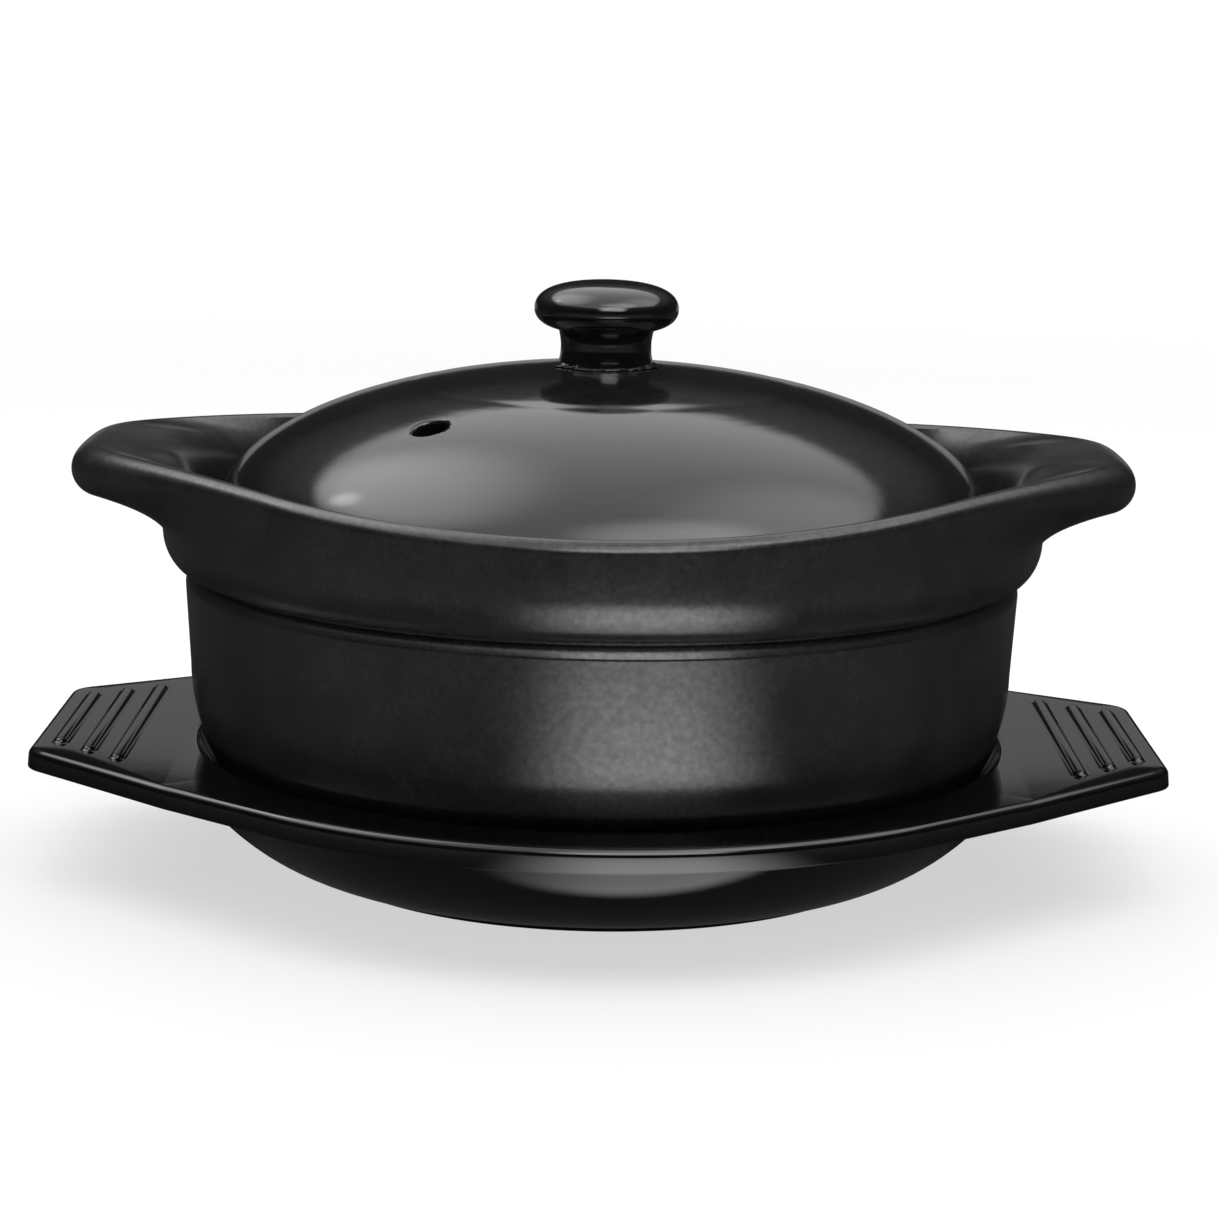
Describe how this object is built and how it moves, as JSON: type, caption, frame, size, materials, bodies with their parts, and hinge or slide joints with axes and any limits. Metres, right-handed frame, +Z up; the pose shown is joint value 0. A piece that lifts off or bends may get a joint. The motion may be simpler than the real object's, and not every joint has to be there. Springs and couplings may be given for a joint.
{
  "type": "ceramic casserole pot",
  "caption": "Round black stoneware casserole with lug handles drawn out of its rim, a domed lid with a mushroom knob and a steam hole, standing in a gloss serving tray with ribbed grip wings.",
  "frame": {"origin": "on the table, under the middle of the tray's foot ring", "axes": "+X along the tray's long way from wing to wing, -Y towards the side seen in the picture, +Z up along the pot's axis"},
  "size_m": [0.2334, 0.1962, 0.1226],
  "materials": {
    "tray": "mirror-gloss black moulding",
    "pot": "satin black stoneware with a fine mottled grain",
    "lid": "gloss black glaze",
    "knob": "gloss black glaze with an uneven seam at its foot"
  },
  "bodies": {
    "tray": {"tray": "tray"},
    "pot": {"pot": "pot"},
    "lid": {"lid": "lid", "knob": "knob"}
  },
  "joints": [
    {"name": "pot_lift", "type": "slide", "parent": "tray", "child": "pot", "axis": [0, 0, 1], "range_m": [0, 0.12]},
    {"name": "lid_lift", "type": "slide", "parent": "pot", "child": "lid", "axis": [0, 0, 1], "range_m": [0, 0.1]}
  ]
}
